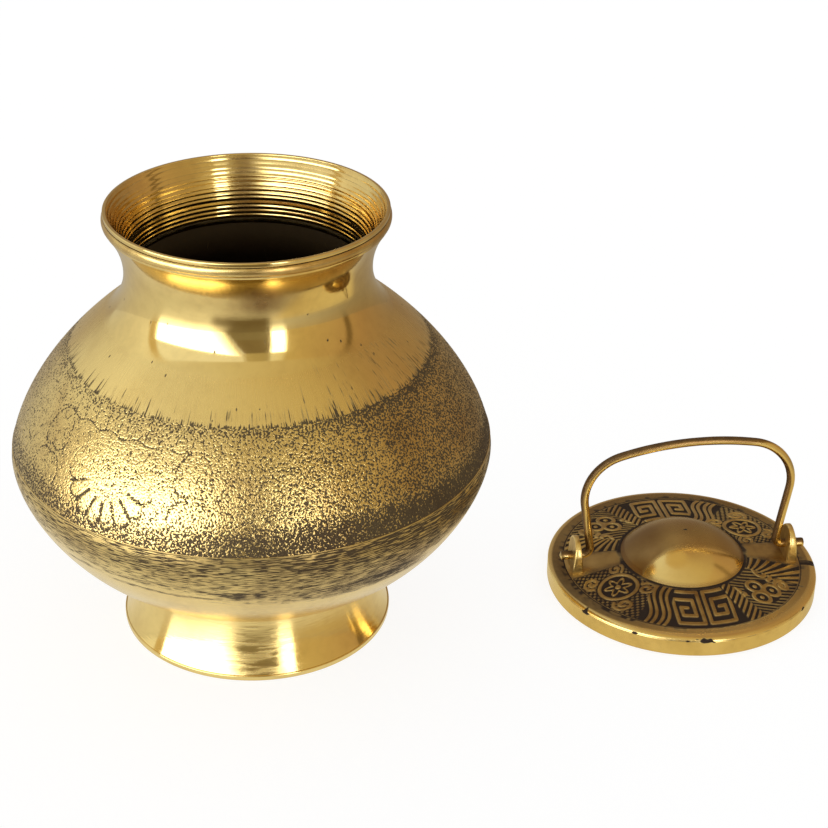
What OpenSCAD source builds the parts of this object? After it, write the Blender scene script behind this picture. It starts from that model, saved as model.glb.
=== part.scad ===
// Brass water pot with a loose lid that lies beside it. The pot's axis is Z, the floor is z = 0
// and the lid lies on the +X side. All sizes are in millimetres.

/* [Foot] */
// Diameter of the foot where it stands
foot_d = 75.6; // [66:0.1:90]
// Height of the foot
foot_h = 18; // [12:0.5:26]
// Diameter of the foot where it meets the bowl
foot_top_d = 64; // [56:0.5:70]
// Wall of the foot
foot_wall = 2; // [1.2:0.1:3]
// Height of the plain edge at the bottom of the foot
foot_edge_h = 1.6; // [0.8:0.1:3]
// How far the plain edge stands out
foot_edge_step = 0.4; // [0.2:0.1:1]
// How far the side of the foot bows inwards
foot_bow = 0.9; // [0.2:0.1:1.4]
// Height of the locating ring under the bowl
spigot_h = 2.5; // [1.5:0.5:5]

/* [Bowl] */
// Largest diameter of the bowl
belly_d = 130.8; // [116:0.2:150]
// Height from the top of the foot to the largest diameter
bowl_h = 37; // [30:0.5:46]
// Wall of the bowl
bowl_wall = 1.6; // [1.2:0.1:2.4]
// Rise of the bowl's side where it leaves the foot, in degrees
bowl_rise = 19.5; // [12:0.5:28]
// Reach of the curve at the foot
bowl_foot_pull = 24; // [16:0.5:30]
// Reach of the curve below the largest diameter
bowl_belly_pull = 8; // [5:0.5:14]

/* [Shoulder] */
// Height of the seam above the largest diameter
seam_lift = 3; // [1:0.5:6]
// Height from the largest diameter to the waist
shoulder_h = 52; // [44:0.5:62]
// Reach of the curve above the largest diameter
shoulder_belly_pull = 3; // [2:0.5:8]
// Reach of the curve below the neck
shoulder_neck_pull = 30; // [20:0.5:34]
// Radius of the hollow below the waist
cove_r = 16.8; // [12:0.2:22]
// Slope of the shoulder below the hollow, in degrees from upright
cove_turn = 50.5; // [40:0.5:56]

/* [Neck] */
// Diameter of the waist
waist_d = 65.3; // [58:0.1:70]
// Radius of the flare above the waist
flare_r = 22; // [18:0.5:30]
// Wall of the neck
neck_wall = 1.6; // [1.2:0.1:2.2]
// Outer diameter of the lip
lip_d = 74.4; // [72:0.2:80]
// Width of the lip's flat top
lip_w = 1; // [0.8:0.1:1.4]
// Height of the lip above the rim ring
lip_h = 1.3; // [0.8:0.1:2.5]
// How far the lip stands out over the rim ring's seat
lip_step = 0.3; // [0.2:0.05:0.4]
// Spacing of the turned ridges inside the neck
ridge_pitch = 1.4; // [1:0.1:2.5]
// Depth of the turned ridges
ridge_depth = 0.3; // [0.1:0.05:0.5]

/* [Rim ring] */
// Height of the half round ring under the lip
ring_h = 2.4; // [1.6:0.1:4]
// How far the ring stands out from its seat
ring_w = 0.65; // [0.5:0.05:1.5]
// Plain band between the flare and the ring
ring_lift = 0.5; // [0.3:0.1:2]

/* [Lid] */
// Gap between the bowl and the lid, seen from above
lid_gap = 20; // [5:0.2:40]
// Gap all round between the rim ring and the lid's band
lid_clearance = 0.25; // [0.2:0.05:0.8]
// Wall of the lid's band
band_wall = 1.4; // [1.2:0.1:3]
// Height of the lid's band
band_h = 4.9; // [4.5:0.1:9]
// Depth of the step that seats the plate in the band
plate_seat = 0.8; // [0.5:0.1:1.2]
// Thickness of the lid's plate and dome
plate_t = 1.7; // [1.3:0.1:2.4]
// Width of the rounded rim
rim_w = 2.7; // [2:0.1:3.4]
// Height of the rounded rim
rim_h = 1.2; // [0.7:0.1:2]
// Width of the border inside the rim
border_w = 4.1; // [2:0.1:5]
// Rise of the patterned field from the border to the dome
field_rise = 2.5; // [1:0.1:3]
// Diameter of the dome
dome_d = 36; // [28:0.5:42]
// Height of the dome
dome_h = 8.2; // [5:0.1:12]

/* [Lugs] */
// Distance of each lug from the lid's axis
lug_reach = 31.9; // [31:0.1:33]
// Width of a lug
lug_w = 9.4; // [7:0.1:11]
// Height of a lug
lug_h = 10; // [8:0.1:12]
// Thickness of a lug at its foot
lug_foot_t = 3.4; // [2.6:0.1:3.8]
// Thickness of a lug at its top
lug_top_t = 1.6; // [1:0.1:2.4]
// Height of the pivot above the lug's foot
pivot_lift = 4.1; // [3:0.1:5]
// Width of the tenon that goes through the plate
tenon_w = 5; // [3:0.1:6.5]
// Thickness of the tenon
tenon_t = 1.8; // [1.2:0.1:2.4]

/* [Bail] */
// Diameter of the bail's wire
wire_d = 2.4; // [1.6:0.1:2.8]
// Height of the wire's middle above the pivot
bail_h = 36.2; // [30:0.2:46]
// Width of the bail between the middles of its legs, where it is widest
bail_w = 60.6; // [58:0.2:70]
// Radius of the flat arch at the top
crown_r = 85; // [60:1:120]
// How far the top of the arch lies off the lid's axis, towards the right lug
crown_shift = 4.7; // [0:0.1:7]
// Radius of the two top corners
corner_r = 14; // [8:0.5:16]
// Inner radius of the bends into the lugs
bend_in_r = 0.9; // [0.8:0.1:2]
// How much thinner the wire is where it bends
bend_loss = 0.04; // [0.02:0.01:0.1]
// Diameter of the peened ends
head_d = 2.8; // [2.6:0.1:4]
// Length of the peened ends
head_l = 2.8; // [0.8:0.1:3]

/* [Fits] */
// Gap in the brazed joints
braze_gap = 0.05; // [0.02:0.01:0.1]
// Height of the lapped joints in the bowl and neck
lap_h = 1.4; // [1:0.1:2]
// Gap all round between the wire and its hole in a lug
pivot_clearance = 0.08; // [0.03:0.01:0.1]
// Play along the pivot on each side of a lug
pivot_play = 0.3; // [0.2:0.05:0.6]

/* [Hidden] */
$fn = 96;
curve_steps = 24;
small_steps = 10;
spare = 1;
brass = "#c8a24c";
polished = "#dcb65a";
patina = "#8a6a34";

// Main stations of the pot
foot_r = foot_d / 2;
foot_top_r = foot_top_d / 2;
belly_r = belly_d / 2;
belly_z = foot_h + bowl_h;
seam_z = belly_z + seam_lift;
waist_r = waist_d / 2;
waist_z = belly_z + shoulder_h;
throat_r = waist_r - neck_wall;
lip_r = lip_d / 2;
mouth_r = lip_r - lip_w;
seat_r = lip_r - lip_step;

// The flare is an arc about this point, and ends where it reaches the rim ring's seat
flare_c = [waist_r + flare_r, waist_z];
flare_turn = acos((flare_c.x - seat_r) / flare_r);
ring_z = flare_c.y + flare_r * sin(flare_turn) + ring_lift;
ring_top_z = ring_z + ring_h;
lip_z = ring_top_z + lip_h;
ring_in_r = seat_r + braze_gap;
ring_r = ring_in_r + ring_w;

// Inside of the neck, down to the throat
inside_r = flare_r + neck_wall;
inside_turn = acos((flare_c.x - mouth_r) / inside_r);
ridge_count = floor(inside_r * inside_turn * PI / 180 / ridge_pitch);

// Curves of the pot's outside, from the foot to the waist
cove_c = [waist_r + cove_r, waist_z];
cove_end = cove_c - cove_r * [cos(cove_turn), sin(cove_turn)];
bowl_start = [foot_top_r, foot_h];
belly = [belly_r, belly_z];
bowl_curve = bezier(
    bowl_start,
    bowl_start + bowl_foot_pull * [cos(bowl_rise), sin(bowl_rise)],
    belly - [0, bowl_belly_pull],
    belly
);
shoulder_curve = bezier(
    belly,
    belly + [0, shoulder_belly_pull],
    cove_end + shoulder_neck_pull * [sin(cove_turn), -cos(cove_turn)],
    cove_end
);
cove_curve = arc(cove_c, cove_r, 180 + cove_turn, 180);
body_curve = concat(bowl_curve, tail(shoulder_curve), tail(cove_curve));
body_inside = inset(body_curve, bowl_wall);
base_top_z = body_inside[0].y;

// Radii of the two lapped joints, in the middle of the wall that they share
seam_lap_r = (radius_at(body_curve, seam_z + lap_h) + radius_at(body_inside, seam_z)) / 2;
neck_lap_r = waist_r - min(bowl_wall, neck_wall) / 2;

// Side of the foot
foot_curve = bowed(
    [foot_r - foot_edge_step, foot_edge_h],
    [foot_top_r, foot_h],
    foot_bow
);
spigot_r = foot_top_r - foot_wall - braze_gap;

// Main stations of the lid, in its own frame
band_in_r = ring_r + lid_clearance;
lid_r = band_in_r + band_wall;
lid_x = belly_r + lid_gap + lid_r;
plate_seat_r = band_in_r + band_wall / 2;
plate_under_z = band_h - plate_seat;
border_r = lid_r - rim_w;
border_z = band_h + rim_h;
field_r = border_r - border_w;
dome_r = dome_d / 2;
dome_z = border_z + field_rise;
dome_in_r = dome_r - plate_t;
dome_in_z = dome_z - plate_t;
lid_top_curve = [[field_r, border_z], [dome_r, dome_z]];
lid_under_curve = [[field_r, plate_under_z], [dome_in_r, dome_in_z]];

// Lugs and pivot, in the lid's frame
lug_z = height_at(lid_top_curve, lug_reach + lug_foot_t / 2);
tenon_z = height_at(lid_under_curve, lug_reach + tenon_t / 2);
pivot_z = lug_z + pivot_lift;
pivot_r = wire_d / 2;
pivot_hole_r = pivot_r + pivot_clearance;
lug_in_x = lug_reach - lug_foot_t / 2;
lug_out_x = lug_reach + lug_foot_t / 2;

// Middle line of the bail: arch, then corner, leg, bend and pivot on each side. The leg is the line
// that touches both the corner's circle and the bend's circle.
bend_r = bend_in_r + wire_d / 2;
bend_d = wire_d - bend_loss;
bend_run_on = bend_in_r / 10;
crown_c = [crown_shift, bail_h - crown_r];
bend_c = [lug_in_x - pivot_play, bend_r];
head_x = lug_out_x + pivot_play;

function bezier(a, b, c, d) = [
    for (i = [0:curve_steps])
        let (t = i / curve_steps, u = 1 - t)
        u * u * u * a + 3 * u * u * t * b + 3 * u * t * t * c + t * t * t * d
];

function arc(c, r, from, to, steps = small_steps) = [
    for (i = [0:steps])
        let (a = from + (to - from) * i / steps)
        c + r * [cos(a), sin(a)]
];

// A line from a to b that bows to its left by the given depth
function bowed(a, b, depth) = [
    for (i = [0:small_steps])
        let (t = i / small_steps, along = (b - a) / norm(b - a))
        a + t * (b - a) + 4 * t * (1 - t) * depth * [-along.y, along.x]
];

// A spherical cap from its edge to its top
function cap(edge_r, edge_z, rise) =
    let (r = (edge_r * edge_r + rise * rise) / (2 * rise), c = [0, edge_z + rise - r])
    arc(c, r, acos(edge_r / r), 90, curve_steps);

function tail(points) = [for (i = [1:len(points) - 1]) points[i]];

function reversed(points) = [for (i = [len(points) - 1:-1:0]) points[i]];

function along(points, i) = points[min(i + 1, len(points) - 1)] - points[max(i - 1, 0)];

// The curve moved to its left by the given distance
function inset(points, distance) = [
    for (i = [0:len(points) - 1])
        let (t = along(points, i) / norm(along(points, i)))
        points[i] + distance * [-t.y, t.x]
];

function radius_at(points, z) = lookup(z, [for (p = points) [p.y, p.x]]);

function height_at(points, r) = lookup(r, [for (p = points) p]);

// Turn of the bail's arch from its top to one corner. The side is 1 on the right and -1 on the left.
function crown_turn(side) = asin((bail_w / 2 - corner_r - side * crown_shift) / (crown_r - corner_r));

// Centre of one corner of the bail, as if both sides were on the right
function corner_c(side) = [
    bail_w / 2 - corner_r,
    crown_c.y + (crown_r - corner_r) * cos(crown_turn(side))
];

// Angle by which one leg of the bail leans inwards
function leg_lean(side) =
    let (reach = bend_c - corner_c(side))
    atan2(-reach.y, reach.x) - acos((corner_r + bend_r) / norm(reach));

// Wall of the pot from the foot to the waist
module body_section() {
    polygon(concat(body_curve, reversed(body_inside)));
}

// Everything between two heights, out to a radius
module zone(low, high, radius) {
    translate([0, low])
        square([radius, high - low]);
}

// The side of the foot and the edge that it stands on
module foot_ring() {
    inside = [for (p = reversed(foot_curve)) [p.x - foot_wall, p.y]];
    section = concat(
        [[foot_r, 0], [foot_r, foot_edge_h]],
        foot_curve,
        inside,
        [[foot_r - foot_edge_step - foot_wall, 0]]
    );
    color(polished)
        rotate_extrude()
            polygon(section);
}

// The bowl up to the seam, with the locating ring for the foot and the lap for the shoulder
module lower_bowl() {
    base = [[0, foot_h], bowl_start, body_inside[0], [0, base_top_z]];
    color(brass)
        rotate_extrude()
            union() {
                intersection() {
                    body_section();
                    zone(0, seam_z, 2 * belly_r);
                }
                intersection() {
                    body_section();
                    zone(seam_z - spare, seam_z + lap_h, seam_lap_r - braze_gap);
                }
                polygon(base);
                translate([spigot_r - foot_wall, foot_h - spigot_h])
                    square([foot_wall, spigot_h + base_top_z - foot_h]);
            }
}

// The shoulder from the seam to the waist
module upper_bowl() {
    color(patina)
        rotate_extrude()
            difference() {
                intersection() {
                    body_section();
                    zone(seam_z, waist_z, 2 * belly_r);
                }
                zone(seam_z - spare, seam_z + lap_h + braze_gap, seam_lap_r);
                zone(waist_z - lap_h - braze_gap, waist_z + spare, neck_lap_r);
            }
}

// The neck with its flare, turned ridges and lip
module neck_collar() {
    ridge_steps = 2 * ridge_count;
    inside = [
        for (i = [0:ridge_steps])
            let (a = 180 - inside_turn * (1 - i / ridge_steps), cut = i % 2 == 0 ? 0 : ridge_depth)
            flare_c + (inside_r - cut) * [cos(a), sin(a)]
    ];
    section = concat(
        [
            [throat_r, waist_z - lap_h],
            [neck_lap_r - braze_gap, waist_z - lap_h],
            [neck_lap_r - braze_gap, waist_z]
        ],
        arc(flare_c, flare_r, 180, 180 - flare_turn, curve_steps),
        [
            [seat_r, ring_top_z],
            [lip_r, ring_top_z],
            [lip_r, lip_z],
            [mouth_r, lip_z]
        ],
        inside
    );
    color(brass)
        rotate_extrude()
            polygon(section);
}

// The half round ring under the lip
module rim_ring() {
    round_side = [
        for (i = [0:small_steps])
            let (a = 180 * i / small_steps - 90)
            [ring_in_r + ring_w * cos(a), ring_z + ring_h * (1 + sin(a)) / 2]
    ];
    color(polished)
        rotate_extrude()
            polygon(round_side);
}

// The lid's band, with the step that the plate sits in
module lid_band() {
    section = [
        [band_in_r, 0],
        [lid_r, 0],
        [lid_r, band_h],
        [plate_seat_r + braze_gap, band_h],
        [plate_seat_r + braze_gap, plate_under_z],
        [band_in_r, plate_under_z]
    ];
    color(brass)
        translate([lid_x, 0, 0])
            rotate_extrude()
                polygon(section);
}

// The lid's plate with its rounded rim, border, field and hollow dome
module lid_plate() {
    rim = [
        for (i = [0:small_steps])
            let (a = 90 * i / small_steps)
            [border_r + rim_w * cos(a), band_h + rim_h * sin(a)]
    ];
    section = concat(
        [[plate_seat_r, plate_under_z], [plate_seat_r, band_h]],
        rim,
        [[field_r, border_z]],
        cap(dome_r, dome_z, dome_h),
        reversed(cap(dome_in_r, dome_in_z, dome_h)),
        [[field_r, plate_under_z]]
    );
    color(patina)
        translate([lid_x, 0, 0])
            difference() {
                rotate_extrude()
                    polygon(section);
                for (side = [0, 180])
                    rotate([0, 0, side])
                        lug_seat();
            }
}

// The shallow seat and the slot that hold one lug
module lug_seat() {
    foot = [lug_foot_t, lug_w, lug_h] + 2 * braze_gap * [1, 1, 0];
    slot = [tenon_t, tenon_w, lug_h] + 2 * braze_gap * [1, 1, 0];
    translate([lug_reach - foot.x / 2, -foot.y / 2, lug_z])
        cube(foot);
    translate([lug_reach - slot.x / 2, -slot.y / 2, lug_z + spare - slot.z])
        cube(slot);
}

// One lug on the +X side of the lid: round top, tapered sides, tenon and pivot hole
module lug() {
    half_foot = lug_foot_t / 2;
    half_top = lug_top_t / 2;
    taper = [[-half_foot, 0], [half_foot, 0], [half_top, lug_h], [-half_top, lug_h]];
    top_z = lug_h - lug_w / 2;
    difference() {
        translate([lug_reach, 0, lug_z])
            union() {
                intersection() {
                    rotate([90, 0, 90])
                        linear_extrude(height = lug_foot_t, center = true)
                            union() {
                                translate([-lug_w / 2, 0])
                                    square([lug_w, top_z]);
                                translate([0, top_z])
                                    circle(r = lug_w / 2);
                            }
                    rotate([90, 0, 0])
                        linear_extrude(height = lug_w + spare, center = true)
                            polygon(taper);
                }
                translate([-tenon_t / 2, -tenon_w / 2, tenon_z - lug_z])
                    cube([tenon_t, tenon_w, lug_z - tenon_z + spare]);
            }
        translate([lug_in_x - spare, 0, pivot_z])
            rotate([0, 90, 0])
                cylinder(r = pivot_hole_r, h = lug_foot_t + 2 * spare);
    }
}

module lug_left() {
    color(brass)
        translate([lid_x, 0, 0])
            rotate([0, 0, 180])
                lug();
}

module lug_right() {
    color(brass)
        translate([lid_x, 0, 0])
            lug();
}

// A bent stretch of wire about a centre in the XZ plane, between two angles from +X. It runs on
// a little at both ends, into the straighter stretches.
module wire_bend(c, r, from, to, d, run_on) {
    extra = run_on / r * 180 / PI;
    translate([c.x, 0, c.y])
        rotate([90, 0, 0])
            rotate([0, 0, from - extra])
                rotate_extrude(angle = to - from + 2 * extra)
                    translate([r, 0])
                        circle(d = d);
}

// A straight stretch of wire from a to b in the XZ plane
module wire_run(a, b) {
    turn = atan2(b.x - a.x, b.y - a.y);
    translate([a.x, 0, a.y])
        rotate([0, turn, 0])
            cylinder(d = wire_d, h = norm(b - a));
}

// The corner, leg, bend, pivot and peened end of one side, drawn on the +X side with the pivot line as X
module bail_side(side) {
    corner = corner_c(side);
    lean = leg_lean(side);
    across = [cos(lean), -sin(lean)];
    wire_bend(corner, corner_r, -lean, 90 - crown_turn(side), bend_d, bend_run_on);
    wire_run(corner + corner_r * across, bend_c - bend_r * across);
    wire_bend(bend_c, bend_r, 180 - lean, 270, bend_d, bend_run_on);
    wire_run([bend_c.x, 0], [head_x + head_l / 2, 0]);
    translate([head_x, 0, 0])
        rotate([0, 90, 0])
            cylinder(d1 = head_d, d2 = wire_d, h = head_l);
}

// The bail, standing upright in the two lugs
module bail_handle() {
    color(polished)
        translate([lid_x, 0, pivot_z])
            union() {
                wire_bend(crown_c, crown_r, 90 - crown_turn(1), 90 + crown_turn(-1), wire_d, 0);
                bail_side(1);
                mirror([1, 0, 0])
                    bail_side(-1);
            }
}

foot_ring();
lower_bowl();
upper_bowl();
neck_collar();
rim_ring();
lid_band();
lid_plate();
lug_left();
lug_right();
bail_handle();
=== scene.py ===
"""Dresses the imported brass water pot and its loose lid. Lengths are in metres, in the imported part's own frame."""

import math

import bpy
import numpy as np
from bpy.props import FloatProperty, FloatVectorProperty, PointerProperty
from mathutils import Matrix


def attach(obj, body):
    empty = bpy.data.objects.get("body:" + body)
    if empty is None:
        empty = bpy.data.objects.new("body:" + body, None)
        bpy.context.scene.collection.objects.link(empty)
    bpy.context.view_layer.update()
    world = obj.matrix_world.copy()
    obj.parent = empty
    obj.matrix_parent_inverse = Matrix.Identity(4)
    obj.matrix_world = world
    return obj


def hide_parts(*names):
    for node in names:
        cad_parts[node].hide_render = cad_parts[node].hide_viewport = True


bl_info = {
    "name": "Brass water pot",
    "version": (1, 0, 0),
    "blender": (4, 5, 0),
    "location": "3D View > Sidebar > Pot",
    "description": "Turned, engraved and tarnished brass over the packed water pot and lid",
    "category": "Object",
}

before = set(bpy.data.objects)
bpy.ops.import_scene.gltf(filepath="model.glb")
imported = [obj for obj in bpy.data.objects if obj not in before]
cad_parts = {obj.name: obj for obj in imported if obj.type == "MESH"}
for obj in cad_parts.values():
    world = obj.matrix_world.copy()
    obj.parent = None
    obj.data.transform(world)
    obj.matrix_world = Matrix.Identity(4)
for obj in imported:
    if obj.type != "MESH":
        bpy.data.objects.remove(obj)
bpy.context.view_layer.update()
MM = 0.001
TURN = 2 * np.pi

# The camera: lens and sensor in millimetres, place in metres, and tilt, turn to the side and roll in degrees
LENS, SENSOR = 87.06, 36.0
CAMERA_PLACE = (-0.01930, -0.47879, 0.33105)
CAMERA_ANGLES = (29.317, 7.59, 0.996)

# Painted shade inside the pot: its inner walls are blackened and browned to stand for the shade in there.
INSIDE_PAINTED_SHADE, INSIDE_PAINTED_SHADE_FILM = 1.6, 0.4  # Of the walls inside the pot
LIP_LEAN = 0.0005  # How far the lip lies higher in front than at its middle
PLATE_STEP = 0.0008  # How deep the lid's plate sits in its band
LID_SHEET = 0.0017  # Thickness of the lid's plate at the dome


def length(text, default):
    return FloatProperty(name=text, default=default, unit="LENGTH", precision=5)


def colour(text, default):
    return FloatVectorProperty(name=text, default=default, size=3, subtype="COLOR", min=0, max=1)


class PotSizes(bpy.types.PropertyGroup):
    """Stations of the pot's outline"""

    foot_r: length("Radius where the foot stands", 0.0378)
    foot_h: length("Height of the foot", 0.018)
    foot_top_r: length("Radius where the foot meets the bowl", 0.032)
    belly_r: length("Largest radius of the bowl", 0.0654)
    belly_z: length("Height of the largest radius", 0.055)
    seam_z: length("Height of the seam between the bowl and the shoulder", 0.058)
    band_z: length("Height where the engraved band ends", 0.0851)
    waist_r: length("Smallest radius, below the flare", 0.03265)
    waist_z: length("Height of the waist", 0.107)
    wall: length("Thickness of the sheet", 0.0016)
    lip_r: length("Outer radius of the lip", 0.0372)


class LidSizes(bpy.types.PropertyGroup):
    """Stations of the lid's outline and its bail"""

    middle_x: length("Distance of the lid's axis from the pot's axis", 0.12465)
    lid_r: length("Outer radius of the lid's band", 0.03925)
    band_h: length("Height of the lid's band", 0.0049)
    border_r: length("Radius where the rounded rim ends", 0.03655)
    border_z: length("Height of the border", 0.0061)
    field_r: length("Outer radius of the patterned field", 0.0346)
    dome_r: length("Radius of the dome at its foot", 0.018)
    dome_z: length("Height of the dome's foot", 0.0086)
    dome_h: length("Rise of the dome", 0.0082)
    lug_x: length("Distance of a lug from the lid's axis", 0.0319)
    pivot_z: length("Height of the bail's pivot", 0.0102)
    wire_r: length("Radius of the bail's wire", 0.0012)


class BrassColours(bpy.types.PropertyGroup):
    """Colours of the metal and of what has settled on it. The black residue and brown film colours also paint shade
    and dark reflections on some pieces.
    """

    brass: colour("Clean brass", (0.87, 0.66, 0.265))
    copper: colour("Brass that has reddened with age", (0.62, 0.36, 0.10))
    # The brown film and the black residue below also stand for painted shade and painted reflections where the marks
    # carry them.
    tarnish_and_shade: colour("Brown film on old brass", (0.24, 0.135, 0.05))
    soot_and_shade: colour("Black residue in the cuts", (0.031, 0.018, 0.012))


def sizes(of_lid=False):
    return bpy.context.scene.lid_sizes if of_lid else bpy.context.scene.pot_sizes


# Outlines: arrays of (radius, height), upwards on the outside and downwards on the inside


def bezier(a, b, c, d, count):
    """Cubic curve: the four points weighted by the cubic Bernstein terms."""
    t = np.linspace(0, 1, count)[:, None]
    u = 1 - t
    return u**3 * np.array(a) + 3 * u * u * t * np.array(b) + 3 * u * t * t * np.array(c) + t**3 * np.array(d)


def ray(angle):
    """Unit direction at an angle in degrees."""
    return np.array([math.cos(math.radians(angle)), math.sin(math.radians(angle))])


def arc(centre, radius, start, end, count):
    """Points at the radius from the centre, between two angles in degrees."""
    turn = np.radians(np.linspace(start, end, count))
    return np.array(centre) + radius * np.stack([np.cos(turn), np.sin(turn)], 1)


def line(a, b, count):
    return np.linspace(a, b, count)


def chain(*parts):
    """The parts end to end, each joint kept once."""
    points = np.vstack([np.atleast_2d(p) for p in parts])
    step = np.linalg.norm(np.diff(points, axis=0), axis=1)
    return points[np.append(True, step > 1e-8)]


def run(points):
    """Distance along a line of points."""
    return np.append(0, np.cumsum(np.linalg.norm(np.diff(points, axis=0), axis=1)))


def even(points, count):
    """The same line with its points evenly spaced."""
    s = run(points)
    at = np.linspace(0, s[-1], count)
    return np.stack([np.interp(at, s, points[:, k]) for k in range(points.shape[1])], 1)


def unit(d):
    return d / np.linalg.norm(d, axis=-1, keepdims=True)


def outward(points):
    """Unit normals on the right of a line of points."""
    d = unit(np.gradient(points, axis=0))
    return np.stack([d[:, 1], -d[:, 0]], 1)


def bowl_line(count):
    """Outside from the foot to the belly: a cubic that leaves the foot at 19.5 degrees and arrives upright."""
    s = sizes()
    start, belly = np.array([s.foot_top_r, s.foot_h]), np.array([s.belly_r, s.belly_z])
    rise, low_pull, high_pull = 19.5, 0.024, 0.008
    return bezier(start, start + low_pull * ray(rise), belly - [0, high_pull], belly, count)


def shoulder_line(count):
    """Outside from the belly to the waist: a cubic, then an arc of 16.8 mm that ends upright."""
    s = sizes()
    belly, turn, reach = np.array([s.belly_r, s.belly_z]), 50.5, 0.0168
    low_pull, high_pull = 0.003, 0.030
    middle = np.array([s.waist_r + reach, s.waist_z])
    end = middle - reach * ray(turn)
    curve = bezier(belly, belly + [0, low_pull], end + high_pull * ray(turn - 90), end, count)
    return chain(curve, arc(middle, reach, 180 + turn, 180, count // 2))


def between(points, low, high, count):
    """The stretch of a rising line between two heights, evenly spaced."""
    z = np.concatenate([[low], points[(points[:, 1] > low) & (points[:, 1] < high), 1], [high]])
    r = np.interp(z, points[:, 1], points[:, 0])
    return even(np.stack([r, z], 1), count)


# Surfaces


def ease(low, high, x):
    """0 below low, 1 above high, smooth between."""
    t = np.clip((x - low) / (high - low), 0, 1)
    return t * t * (3 - 2 * t)


def spread(outline, cols):
    """Over a turned grid: the turn from 0 to 1 as a row, the radius and the height in millimetres as columns."""
    return np.arange(cols)[None] / cols, outline[:, :1] / MM, outline[:, 1:] / MM


def pad(rows, count, value):
    """The rows with more rows of one value under them."""
    return np.vstack([rows, np.full((count, rows.shape[1]), value)])


def lattice(turn, count, along, seed, shift=0.0):
    """Smooth noise from 0 to 1: random numbers on a lattice of count cells in a turn, blended by ease curves."""
    table = np.random.default_rng(seed).random((int(np.ceil(along.max())) + 3, count))
    across = turn * count + shift
    i, j = np.floor(across).astype(int), np.floor(along).astype(int)
    fu, fv = ease(0, 1, across - i), ease(0, 1, along - j)
    j = np.clip(j, 0, len(table) - 2)
    a, b = table[j, i % count], table[j, (i + 1) % count]
    c, d = table[j + 1, i % count], table[j + 1, (i + 1) % count]
    return (a * (1 - fu) + b * fu) * (1 - fv) + (c * (1 - fu) + d * fu) * fv


def nearest_mark(turn, count, along, wide, high, seed):
    """Distance in metres to the nearest of a jittered grid of marks, and that mark's own random number."""
    table = np.random.default_rng(seed).random((int(np.ceil(along.max())) + 4, count, 3))
    across = turn * count
    i, j = np.floor(across).astype(int), np.floor(along).astype(int)
    best, number = 1.0, 0.0
    for dj in (-1, 0, 1):
        for di in (-1, 0, 1):
            mark = table[np.clip(j + dj + 1, 0, len(table) - 1), (i + di) % count]
            gap = np.hypot((across - i - di - mark[..., 0]) * wide, (along - j - dj - mark[..., 1]) * high)
            number = np.where(gap < best, mark[..., 2], number)
            best = np.minimum(best, gap)
    return best, number


def stroke(gap, half, soft=0.15):
    """1 on a line whose middle is gap away and whose half width is half, 0 beside it."""
    return ease(half + soft, half - soft, np.abs(gap))


def apart(turn, middle):
    """Signed distance of a turn from a bearing, in degrees."""
    return (turn * 360 - middle + 180) % 360 - 180


def bell(turn, middle, wide):
    """A bell over the bearings: exp of minus the squared distance from its middle, in widths."""
    return np.exp(-((apart(turn, middle) / wide) ** 2))


def below(noise, share):
    """1 where two blended lattices lie below the level that leaves about the wanted share of the surface under it."""
    level, soft = 0.5 + 0.42 * (share - 0.5), 0.035
    return ease(level + soft, level - soft, noise)


def to_path(x, y, path):
    """Distance from each point to a chain of straight stretches: the least of the distances to the stretches."""
    best = 1e3
    for (ax, ay), (bx, by) in zip(path[:-1], path[1:]):
        dx, dy = bx - ax, by - ay
        t = np.clip(((x - ax) * dx + (y - ay) * dy) / (dx * dx + dy * dy), 0, 1)
        best = np.minimum(best, np.hypot(x - ax - t * dx, y - ay - t * dy))
    return best


def curl(x, y, reach, start, turns):
    """Points of a spiral that winds in to (x, y): its radius shrinks evenly from reach to a fifth of it."""
    q = np.linspace(0, 1, 18)
    a, d = np.radians(start) + q * turns * TURN, reach * (1 - 0.8 * q)
    return np.stack([x + d * np.cos(a), y + d * np.sin(a)], 1)


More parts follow.
